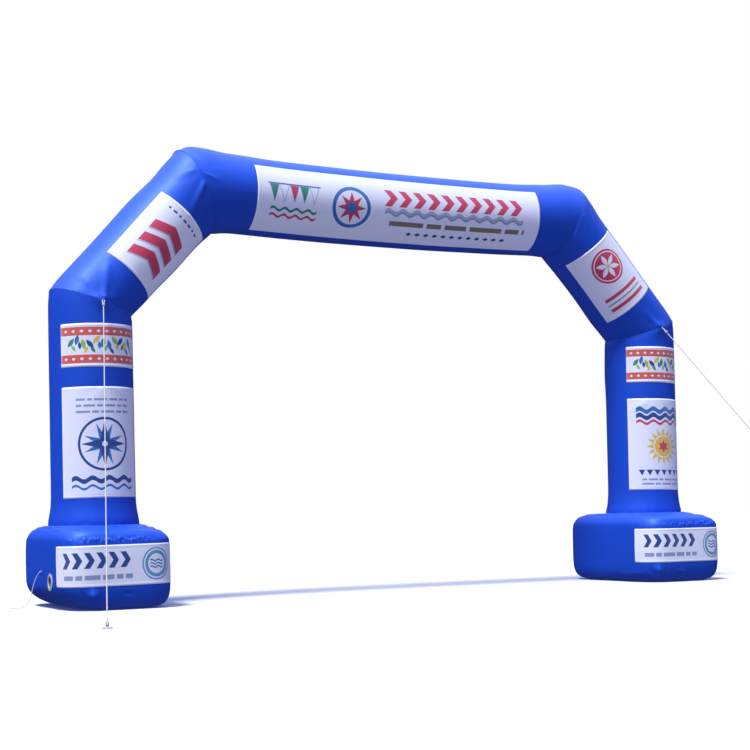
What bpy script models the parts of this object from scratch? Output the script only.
"""Inflatable event arch, about 8.3 m wide and 5 m high, on two blown-up bases.

One envelope of coated polyester, sewn from seven air-filled panels: a base, a leg
and a slanting panel on each side, and the beam between them. Nine printed banners
lie on its front, the left base has the air inlet and a short tie cord, and a guy
rope runs from a loop at each knee to the ground.

Metres, +Z up. X runs along the arch and the front faces -Y. The origin is on the
floor, midway between the bases. Angles round a tube or a base are in degrees from
its front line (0) towards its outer line (90, away from the gateway).
"""

import math

import bmesh
import bpy
from mathutils import Matrix, Vector

# ---- driving dimensions (metres) ----
TUBE_RADIUS = 0.45
FACETS = 36                      # facets round a tube, 10 degrees each
SEAM_GAP = 0.0003                # what touching pieces keep between them

FOOT_AXIS_X = 3.670              # leg axis on the floor; the legs lean out a little
KNEE_X, KNEE_Z = 3.722, 3.245    # where the axes of leg and slanting panel meet
SHOULDER_X, SHOULDER_Z = 2.527, 4.630
LEG_SEAM_Z = 0.865               # seam between a base and its leg
LEG_FLARE = 0.035                # how much wider the leg is at that seam
LEG_FLARE_HEIGHT = 0.150         # over which the flare fades (Gaussian width)
BEAM_SAG = 0.042                 # how far the middle of the beam hangs down

# Near a corner seam the cloth stands out from a round tube, or is drawn in
# (negative): by one amount at the seam, which fades, and by another beside it.
# What a row gives "at the seam" is the same for both panels that meet there.
CORNER_ROWS = (
    # seam, panel, side, at the seam, fades over, beside it, peaks at
    ("knee", "leg", "outer", -0.012, 0.10, 0.000, 0.20),
    ("knee", "leg", "inner", -0.010, 0.04, 0.000, 0.20),
    ("knee", "slant", "outer", -0.012, 0.10, -0.008, 0.80),
    ("knee", "slant", "inner", -0.010, 0.08, -0.022, 0.18),
    ("shoulder", "slant", "outer", -0.018, 0.10, -0.010, 0.40),
    ("shoulder", "slant", "inner", 0.018, 0.22, 0.000, 0.20),
    ("shoulder", "beam", "outer", -0.018, 0.08, 0.024, 0.26),
    ("shoulder", "beam", "inner", 0.018, 0.15, 0.000, 0.20),
)
# At the knee's front the guy rope pulls the cloth out into a low cone
PULL, PULL_REACH, PULL_ANGLE = 0.030, 0.09, 13.0

# Base: half sizes of its outline and their squareness (2 is an ellipse), from the
# floor up to the leg's seam
BASE_ROWS = (
    # height, half_x, half_y, squareness
    (0.000, 0.400, 0.725, 5.0),
    (0.012, 0.475, 0.800, 5.0),
    (0.040, 0.540, 0.865, 5.0),
    (0.090, 0.580, 0.905, 5.0),
    (0.160, 0.605, 0.930, 5.0),
    (0.247, 0.614, 0.940, 5.0),
    (0.455, 0.618, 0.943, 5.0),
    (0.663, 0.614, 0.940, 5.0),
    (0.740, 0.602, 0.925, 4.8),
    (0.800, 0.562, 0.885, 4.5),
    (0.838, 0.525, 0.780, 3.6),
    (0.857, 0.500, 0.620, 2.6),
    (LEG_SEAM_Z, 0.488, 0.488, 2.0),
)
BASE_INWARD = 0.017              # of the base's middle, from the leg's axis
LEFT_TUCK, LEFT_TUCK_HEIGHT = 0.160, 0.260   # the left base's outer foot is drawn in
BASE_BANNER_ROWS = (5, 7)        # first and last row of that table under a banner

# Banners: where each lies along its tube, from the tube's lower end, and round it
BANNER_THICKNESS = 0.002
LARGE_BANNER = (1.150, 2.325)
SMALL_BANNER = (2.535, 3.000)
SLANT_BANNER = (0.465, 1.415)
BEAM_BANNER_MARGIN = 0.620       # from each end of the beam's axis
LEG_BANNER_ANGLES = (-60, 60)
HIGH_BANNER_ANGLES = (-70, 40)   # on the slanting panels and the beam
BASE_BANNER_ANGLES = (-70, 70)

# Air inlet, a collar round a hole low in the left base's outer side
INLET_Y, INLET_Z = -0.406, 0.288
COLLAR_OUTER, COLLAR_INNER, COLLAR_DEPTH = 0.090, 0.060, 0.012
COLLAR_PROUD = 0.003             # how far the collar stands out of the side
INLET_DEPTH = 0.110              # of the hole behind the collar

# Guy ropes, one from a tab at the front of each knee
TAB_INNER, TAB_THICKNESS, TAB_WIDTH = 0.013, 0.003, 0.016
ROPE_DIAMETER = 0.012
ROPE_OUTWARD = 16.5              # degrees from straight ahead, away from the gateway
ROPE_SLOPE = 48.6                # degrees below level
ROPE_FOOT_Z = 0.015              # height at which the lower knot ends
EYE_RADIUS = 0.024               # of the rope's eye through the tab, to its centre line
EYE_DROP = 0.0008                # how far the pull draws the eye below the tab's middle
KNOT_RADIUS, KNOT_LENGTH = 0.017, 0.050
LOOP_RADIUS = 0.040              # of the rope's loop on the ground, to its centre line

# Tie cord, from a tab on the left base's outer side down to the floor
CORD_DIAMETER = 0.009
CORD_TAB_SIZE = (0.014, 0.040, 0.030)
CORD_TAB_Y, CORD_TAB_Z = -0.130, 0.393
CORD_ROUTE = (                   # measured from the cord's start at the tab
    # x, y, z
    (0.000, 0.030, 0.000),
    (-0.006, 0.080, -0.018),
    (-0.016, 0.130, -0.056),
    (-0.028, 0.172, -0.112),
    (-0.041, 0.205, -0.187),
    (-0.056, 0.235, -0.280),
    (-0.080, 0.265, -0.350),
    (-0.125, 0.300, -0.384),
    (-0.190, 0.320, -0.387),
    (-0.255, 0.310, -0.387),
)

# How finely round pieces and cords are divided
BEAM_STEPS = 6                   # rings between the ends of the beam's banner
ROPE_STEPS = 8
CORD_STEP = 3 * CORD_DIAMETER
TURNED_SIDES, COLLAR_SIDES = 16, 32

BLUE = (0.010, 0.070, 0.560)
WHITE = (0.820, 0.850, 0.920)
ROPE_WHITE = (0.800, 0.800, 0.780)
COLLAR_GREY = (0.420, 0.400, 0.370)
CLOTH_ROUGHNESS = 0.35
PRINT_ROUGHNESS = 0.45
PIECE_ROUGHNESS = 0.6
ROPE_ROUGHNESS = 0.8


# ---- helpers ----
def remove_everything():
    """Start from an empty scene."""
    for thing in list(bpy.data.objects):
        bpy.data.objects.remove(thing, do_unlink=True)


def material(name, colour, roughness, metallic=0.0):
    """One Principled material for one sub-part."""
    made = bpy.data.materials.new(name)
    made.use_nodes = True
    shader = made.node_tree.nodes["Principled BSDF"]
    shader.inputs["Base Color"].default_value = (*colour, 1.0)
    shader.inputs["Roughness"].default_value = roughness
    shader.inputs["Metallic"].default_value = metallic
    return made


def solid_from_bmesh(name, shape, colour, roughness):
    """Turn a closed bmesh into a smooth-shaded object with its own material."""
    bmesh.ops.recalc_face_normals(shape, faces=shape.faces)
    mesh = bpy.data.meshes.new(name)
    shape.to_mesh(mesh)
    shape.free()
    mesh.shade_smooth()
    mesh.set_sharp_from_angle(angle=math.radians(40))
    mesh.materials.append(material(name, colour, roughness))
    made = bpy.data.objects.new(name, mesh)
    bpy.context.collection.objects.link(made)
    return made


def solid_from_rings(name, rings, colour, roughness):
    """Close a stack of equal rings of points with a flat face at each end."""
    shape = bmesh.new()
    rows = [[shape.verts.new(point) for point in ring] for ring in rings]
    count = len(rows[0])
    for low, high in zip(rows, rows[1:]):
        for i in range(count):
            j = (i + 1) % count
            shape.faces.new((low[i], low[j], high[j], high[i]))
    shape.faces.new(rows[0])
    shape.faces.new(rows[-1])
    return solid_from_bmesh(name, shape, colour, roughness)


def turned(name, start, axis, profile, colour, sides, hollow=False):
    """A piece turned round an axis from (distance along it, radius) pairs.

    A solid one has a flat face at both ends; a hollow one closes on itself.
    """
    across = axis.orthogonal().normalized()
    beside = axis.cross(across)
    turns = [2 * math.pi * i / sides for i in range(sides)]
    spokes = [across * math.cos(turn) + beside * math.sin(turn) for turn in turns]
    rings = [[start + axis * far + spoke * radius for spoke in spokes] for far, radius in profile]
    if not hollow:
        return solid_from_rings(name, rings, colour, PIECE_ROUGHNESS)
    shape = bmesh.new()
    rows = [[shape.verts.new(point) for point in ring] for ring in rings]
    for low, high in zip(rows, rows[1:] + rows[:1]):
        for i in range(sides):
            j = (i + 1) % sides
            shape.faces.new((low[i], low[j], high[j], high[i]))
    return solid_from_bmesh(name, shape, colour, PIECE_ROUGHNESS)


def grid_normal(rings, row, column):
    """Outward direction of the cloth at one point of a stack of rings."""
    count = len(rings[0])
    above = rings[min(row + 1, len(rings) - 1)][column % count]
    below = rings[max(row - 1, 0)][column % count]
    after = rings[row][(column + 1) % count]
    before = rings[row][(column - 1) % count]
    normal = (after - before).cross(above - below).normalized()
    centre = sum(rings[row], Vector()) / count
    if normal.dot(rings[row][column % count] - centre) < 0:
        normal.negate()
    return normal


def banner_on(name, rings, rows, angles):
    """A thin sheet lying on rows first..last of a stack of rings, between two angles."""
    step = 360 // FACETS
    columns = range(angles[0] // step, angles[1] // step + 1)
    count = len(rings[0])
    shape = bmesh.new()
    layers = []
    for lift in (SEAM_GAP, SEAM_GAP + BANNER_THICKNESS):
        layer = []
        for row in range(rows[0], rows[1] + 1):
            line = []
            for column in columns:
                point = rings[row][column % count]
                line.append(shape.verts.new(point + grid_normal(rings, row, column) * lift))
            layer.append(line)
        layers.append(layer)
    for layer in layers:
        for low, high in zip(layer, layer[1:]):
            for i in range(len(low) - 1):
                shape.faces.new((low[i], low[i + 1], high[i + 1], high[i]))
    inner, outer = (border_of(layer) for layer in layers)
    for i in range(len(inner)):
        j = (i + 1) % len(inner)
        shape.faces.new((inner[i], inner[j], outer[j], outer[i]))
    return solid_from_bmesh(name, shape, WHITE, PRINT_ROUGHNESS)


def border_of(layer):
    """The points round the edge of a rectangular grid, in order."""
    bottom, top = layer[0], layer[-1]
    right = [line[-1] for line in layer[1:-1]]
    left = [line[0] for line in layer[1:-1]]
    return bottom + right + top[::-1] + left[::-1]


# ---- the tubes ----
CORNER_SHAPES = {row[:3]: row[3:] for row in CORNER_ROWS}


def axis_points():
    """Foot, knee and shoulder of the left side, then those of the right side."""
    left = [(-FOOT_AXIS_X, 0, 0), (-KNEE_X, 0, KNEE_Z), (-SHOULDER_X, 0, SHOULDER_Z)]
    right = [(-x, y, z) for x, y, z in reversed(left)]
    return [Vector(point) for point in left + right]


def seam_planes(points):
    """Point, normal and kind of the six seams: level at a foot, mitred at a corner."""
    kinds = ("foot", "knee", "shoulder", "shoulder", "knee", "foot")
    planes = []
    for i, kind in enumerate(kinds):
        if kind == "foot":
            knee = points[1] if i == 0 else points[4]
            point = points[i].lerp(knee, LEG_SEAM_Z / KNEE_Z)
            normal = Vector((0, 0, 1))
        else:
            before = (points[i] - points[i - 1]).normalized()
            after = (points[i + 1] - points[i]).normalized()
            point, normal = points[i], (before + after).normalized()
        planes.append((point, normal, kind))
    return planes


def corner_shape(angle, reach, seam, panel):
    """How far the cloth stands out from a round tube, at a distance from a corner."""
    share = math.sin(math.radians(angle))
    side = "outer" if share > 0 else "inner"
    at_seam, fade, beside, peak = CORNER_SHAPES[seam, panel, side]
    offset = at_seam * math.exp(-(reach / fade) ** 2)
    offset += beside * (reach / peak) ** 2 * math.exp(1 - (reach / peak) ** 2)
    offset *= share ** 2
    if seam == "knee":
        turn = min(angle, 360 - angle)
        offset += PULL * math.exp(-(turn / PULL_ANGLE) ** 2 - (reach / PULL_REACH) ** 2)
    return offset


def foot_shape(reach):
    """The leg widens a little where it is sewn to the base."""
    return LEG_FLARE * math.exp(-(reach / LEG_FLARE_HEIGHT) ** 2)


class Tube:
    """The cloth of one tube panel, between the seam planes at its two ends."""

    def __init__(self, panel, start, end, seams):
        self.panel = panel
        self.start = start
        self.length = (end - start).length
        self.along = (end - start).normalized()
        self.front = Vector((0, -1, 0))
        self.outer = self.front.cross(self.along)
        self.seams = seams

    def spoke(self, angle):
        """Unit vector from the axis towards the cloth at an angle."""
        turn = math.radians(angle)
        return self.front * math.cos(turn) + self.outer * math.sin(turn)

    def seam_station(self, end, angle, radius):
        """How far along the tube a line of its cloth meets a seam, less half the gap."""
        point, normal, _ = self.seams[end]
        slope = self.along.dot(normal)
        foot_of_line = self.start + self.spoke(angle) * radius
        station = (point - foot_of_line).dot(normal) / slope
        half_gap = SEAM_GAP / 2 / abs(slope)
        return station + half_gap if end == 0 else station - half_gap

    def offset(self, end, angle, reach):
        """What one end adds to the radius, at a distance from its seam."""
        kind = self.seams[end][2]
        if kind == "foot":
            return foot_shape(reach)
        return corner_shape(angle, reach, kind, self.panel)

    def places(self, angle, ring, radius):
        """Stations of the near seam, of a ring's point and of the far seam on one line."""
        near_weight, far_weight, station = ring
        near = self.seam_station(0, angle, radius)
        far = self.seam_station(1, angle, radius)
        middle_weight = 1 - near_weight - far_weight
        return near, near * near_weight + station * middle_weight + far * far_weight, far

    def point(self, angle, ring, sag):
        """A point of the cloth on a ring, given by its two seam weights and station."""
        near, place, far = self.places(angle, ring, TUBE_RADIUS)
        radius = TUBE_RADIUS + self.offset(0, angle, place - near)
        radius += self.offset(1, angle, far - place)
        near, place, far = self.places(angle, ring, radius)    # the seams follow the radius
        share = (place - near) / (far - near)
        hang = Vector((0, 0, -sag * (1 - (2 * share - 1) ** 2)))
        return self.start + self.along * place + self.spoke(angle) * radius + hang

    def rings(self, stations, blends, sag=0.0):
        """Rings at the stations, and blended ones between them and the two seams."""
        plan = [(1 - blend, 0, stations[0]) for blend in blends[0]]
        plan += [(0, 0, station) for station in stations]
        plan += [(0, 1 - blend, stations[-1]) for blend in reversed(blends[1])]
        turns = [i * 360 / FACETS for i in range(FACETS)]
        return [[self.point(angle, ring, sag) for angle in turns] for ring in plan]


CORNER_BLENDS = (0.0, 0.12, 0.28, 0.5, 0.75)   # from a corner seam to the first station
FOOT_BLENDS = (0.0, 0.25, 0.60)


def build_leg(side, tube, starts_at_foot):
    """A leg and its two banners; stations are measured from the floor."""
    stations = sorted(LARGE_BANNER + SMALL_BANNER)
    blends = (FOOT_BLENDS, CORNER_BLENDS)
    if not starts_at_foot:
        stations = [tube.length - station for station in reversed(stations)]
        blends = blends[::-1]
    rings = tube.rings(stations, blends)
    solid_from_rings(f"leg_{side}", rings, BLUE, CLOTH_ROUGHNESS)
    first = len(blends[0])
    large, small = ((0, 1), (2, 3)) if starts_at_foot else ((2, 3), (0, 1))
    for size, (low, high) in (("large", large), ("small", small)):
        rows = (first + low, first + high)
        banner_on(f"banner_leg_{side}_{size}", rings, rows, LEG_BANNER_ANGLES)


def build_slant(side, tube, starts_at_knee):
    """A slanting panel and its banner; stations are measured from the knee."""
    stations = list(SLANT_BANNER)
    if not starts_at_knee:
        stations = [tube.length - station for station in reversed(stations)]
    rings = tube.rings(stations, (CORNER_BLENDS, CORNER_BLENDS))
    solid_from_rings(f"slant_{side}", rings, BLUE, CLOTH_ROUGHNESS)
    first = len(CORNER_BLENDS)
    banner_on(f"banner_slant_{side}", rings, (first, first + 1), HIGH_BANNER_ANGLES)


def build_beam(tube):
    """The sagging beam and its long banner."""
    start, end = BEAM_BANNER_MARGIN, tube.length - BEAM_BANNER_MARGIN
    stations = [start + (end - start) * i / BEAM_STEPS for i in range(BEAM_STEPS + 1)]
    rings = tube.rings(stations, (CORNER_BLENDS, CORNER_BLENDS), sag=BEAM_SAG)
    solid_from_rings("beam", rings, BLUE, CLOTH_ROUGHNESS)
    first = len(CORNER_BLENDS)
    banner_on("banner_beam", rings, (first, first + BEAM_STEPS), HIGH_BANNER_ANGLES)


def build_tubes():
    """The five tubes of the arch, from the left foot to the right one."""
    points = axis_points()
    seams = seam_planes(points)
    panels = ("leg", "slant", "beam", "slant", "leg")
    tubes = [Tube(panel, points[i], points[i + 1], seams[i:i + 2])
             for i, panel in enumerate(panels)]
    build_leg("left", tubes[0], starts_at_foot=True)
    build_slant("left", tubes[1], starts_at_knee=True)
    build_beam(tubes[2])
    build_slant("right", tubes[3], starts_at_knee=False)
    build_leg("right", tubes[4], starts_at_foot=False)


# ---- the bases ----
def signed_power(value, power):
    return math.copysign(abs(value) ** power, value)


def base_middle_x(height):
    """Middle of a base at a height; at the top it is the leaning leg's own axis."""
    axis_x = FOOT_AXIS_X + (KNEE_X - FOOT_AXIS_X) * height / KNEE_Z
    return axis_x if height >= LEG_SEAM_Z else axis_x - BASE_INWARD


def base_ring(side, row):
    """One level outline of a base."""
    height, half_x, half_y, squareness = row
    tuck = LEFT_TUCK * max(0.0, 1 - height / LEFT_TUCK_HEIGHT) ** 2 if side < 0 else 0.0
    ring = []
    for i in range(FACETS):
        turn = math.radians(i * 360 / FACETS)
        outer = signed_power(math.sin(turn), 2 / squareness)
        across = half_x * outer - tuck * max(0.0, outer)
        front = half_y * signed_power(math.cos(turn), 2 / squareness)
        ring.append(Vector((side * (base_middle_x(height) + across), -front, height)))
    return ring


def build_base(name, side):
    """One filled base with its banner; side is -1 for left and 1 for right."""
    rings = [base_ring(side, row) for row in BASE_ROWS]
    base = solid_from_rings(f"base_{name}", rings, BLUE, CLOTH_ROUGHNESS)
    banner_on(f"banner_base_{name}", rings, BASE_BANNER_ROWS, BASE_BANNER_ANGLES)
    return base


def left_side_x(height):
    """The outermost x of the left base at a height."""
    for low, high in zip(BASE_ROWS, BASE_ROWS[1:]):
        if low[0] <= height <= high[0]:
            share = (height - low[0]) / (high[0] - low[0])
            return -(base_middle_x(height) + low[1] + (high[1] - low[1]) * share)
    raise ValueError("height is outside the base")


def round_cutter(radius, start, end):
    """A hidden cylinder that lies along X."""
    bpy.ops.mesh.primitive_cylinder_add(vertices=32, radius=radius, depth=end - start)
    cutter = bpy.context.object
    cutter.rotation_euler = (0, math.radians(90), 0)
    cutter.location = ((start + end) / 2, INLET_Y, INLET_Z)
    cutter.hide_render = True
    cutter.display_type = "WIRE"
    return cutter


def cut(target, cutter):
    """Take a cutter's shape out of a solid."""
    step = target.modifiers.new("cut", "BOOLEAN")
    step.operation = "DIFFERENCE"
    step.object = cutter


def build_inlet(base):
    """The air inlet: a flat seat, a blind hole and the collar that lines its mouth."""
    face_x = left_side_x(INLET_Z) - COLLAR_PROUD
    seat_x = face_x + COLLAR_DEPTH
    outside = face_x - COLLAR_DEPTH
    cut(base, round_cutter(COLLAR_OUTER + SEAM_GAP, outside, seat_x))
    cut(base, round_cutter(COLLAR_INNER, outside, seat_x + INLET_DEPTH))
    inner, outer = COLLAR_INNER, COLLAR_OUTER
    thickness = COLLAR_DEPTH - SEAM_GAP
    profile = ((0, inner), (0, outer), (thickness, outer), (thickness, inner))
    start = Vector((face_x, INLET_Y, INLET_Z))
    turned("inlet_collar", start, Vector((1, 0, 0)), profile, COLLAR_GREY, COLLAR_SIDES, hollow=True)


# ---- ropes and cord ----
def smooth_route(points, step):
    """Evenly spaced points on a Catmull-Rom curve through the given ones."""
    ends = [points[0] * 2 - points[1]] + points + [points[-1] * 2 - points[-2]]
    fine = []
    for before, start, end, after in zip(ends, ends[1:], ends[2:], ends[3:]):
        for i in range(40):
            t = i / 40
            place = start * 2 + (end - before) * t
            place += (before * 2 - start * 5 + end * 4 - after) * t ** 2
            place += (start * 3 - before - end * 3 + after) * t ** 3
            fine.append(place / 2)
    fine.append(points[-1])
    length = sum((b - a).length for a, b in zip(fine, fine[1:]))
    count = max(2, round(length / step))
    route, walked, wanted = [fine[0]], 0.0, length / count
    for a, b in zip(fine, fine[1:]):
        walked += (b - a).length
        if walked >= wanted * len(route) and len(route) < count:
            route.append(b)
    return route + [fine[-1]]


def cord(name, points, diameter):
    """A round cord along a list of points, with closed ends."""
    curve = bpy.data.curves.new(name, "CURVE")
    curve.dimensions = "3D"
    curve.bevel_depth = diameter / 2
    curve.bevel_resolution = 2
    curve.use_fill_caps = True
    line = curve.splines.new("POLY")
    line.points.add(len(points) - 1)
    for spot, point in zip(line.points, points):
        spot.co = (*point, 1)
    curve.materials.append(material(name, ROPE_WHITE, ROPE_ROUGHNESS))
    made = bpy.data.objects.new(name, curve)
    bpy.context.collection.objects.link(made)
    return made


def hoop(name, centre, axis, radius):
    """A closed ring of rope."""
    bpy.ops.mesh.primitive_torus_add(
        major_segments=20, minor_segments=8, major_radius=radius, minor_radius=ROPE_DIAMETER / 2)
    made = bpy.context.object
    made.name = name
    made.data.name = name
    made.rotation_mode = "QUATERNION"
    made.rotation_quaternion = axis.to_track_quat("Z", "Y")
    made.location = centre
    made.data.shade_smooth()
    made.data.materials.append(material(name, ROPE_WHITE, ROPE_ROUGHNESS))
    return made


def knot(name, start, axis):
    """A wrapped knot as one barrel."""
    low, length = KNOT_RADIUS * 0.7, KNOT_LENGTH
    profile = ((0, low), (length * 0.2, KNOT_RADIUS), (length * 0.8, KNOT_RADIUS), (length, low))
    return turned(name, start, axis, profile, ROPE_WHITE, TURNED_SIDES)


def build_guy(name, side):
    """Knee tab, eye, knot, taut rope, lower knot and ground loop of one guy rope."""
    outward, slope = math.radians(ROPE_OUTWARD), math.radians(ROPE_SLOPE)
    level = Vector((side * math.sin(outward), -math.cos(outward), 0))
    down = level * math.cos(slope) - Vector((0, 0, math.sin(slope)))
    hinge = level.cross(Vector((0, 0, 1)))

    tab_outer = TAB_INNER + TAB_THICKNESS
    half = TAB_WIDTH / 2
    centre = Vector((side * KNEE_X, -(TUBE_RADIUS + PULL + tab_outer + SEAM_GAP), KNEE_Z))
    profile = ((-half, TAB_INNER), (-half, tab_outer), (half, tab_outer), (half, TAB_INNER))
    turned(f"knee_tab_{name}", centre, Vector((1, 0, 0)), profile, BLUE, TURNED_SIDES, hollow=True)

    eye_centre = centre + down * (EYE_RADIUS + EYE_DROP)
    hoop(f"guy_eye_{name}", eye_centre, down.cross(hinge), EYE_RADIUS)
    knot_top = eye_centre + down * (EYE_RADIUS + ROPE_DIAMETER / 2 + SEAM_GAP)
    knot(f"guy_knot_{name}", knot_top, down)

    rope_top = knot_top + down * (KNOT_LENGTH + SEAM_GAP)
    rope_length = (rope_top.z - ROPE_FOOT_Z) / math.sin(slope) - KNOT_LENGTH - SEAM_GAP
    points = [rope_top + down * rope_length * i / ROPE_STEPS for i in range(ROPE_STEPS + 1)]
    cord(f"guy_rope_{name}", points, ROPE_DIAMETER)

    foot_knot_top = points[-1] + down * SEAM_GAP
    knot(f"guy_foot_knot_{name}", foot_knot_top, down)
    loop_centre = foot_knot_top + down * KNOT_LENGTH + level * LOOP_RADIUS
    loop_centre.z = ROPE_DIAMETER / 2
    hoop(f"guy_loop_{name}", loop_centre, Vector((0, 0, 1)), LOOP_RADIUS)


def build_tie_cord():
    """The short cord that hangs from a tab on the left base and lies on the floor."""
    side_x = left_side_x(CORD_TAB_Z)
    bpy.ops.mesh.primitive_cube_add(size=1)
    tab = bpy.context.object
    tab.name = "cord_tab"
    tab.data.name = "cord_tab"
    tab.data.transform(Matrix.Diagonal((*CORD_TAB_SIZE, 1)))
    tab.location = (side_x - CORD_TAB_SIZE[0] / 2 - SEAM_GAP, CORD_TAB_Y, CORD_TAB_Z)
    tab.data.materials.append(material("cord_tab", BLUE, PIECE_ROUGHNESS))
    start = tab.location + Vector((0, CORD_TAB_SIZE[1] / 2 + SEAM_GAP, 0))
    route = [start] + [start + Vector(step) for step in CORD_ROUTE]
    cord("tie_cord", smooth_route(route, CORD_STEP), CORD_DIAMETER)


def main():
    remove_everything()
    build_tubes()
    left_base = build_base("left", -1)
    build_base("right", 1)
    build_inlet(left_base)
    for side_name, side in (("left", -1), ("right", 1)):
        build_guy(side_name, side)
    build_tie_cord()


main()
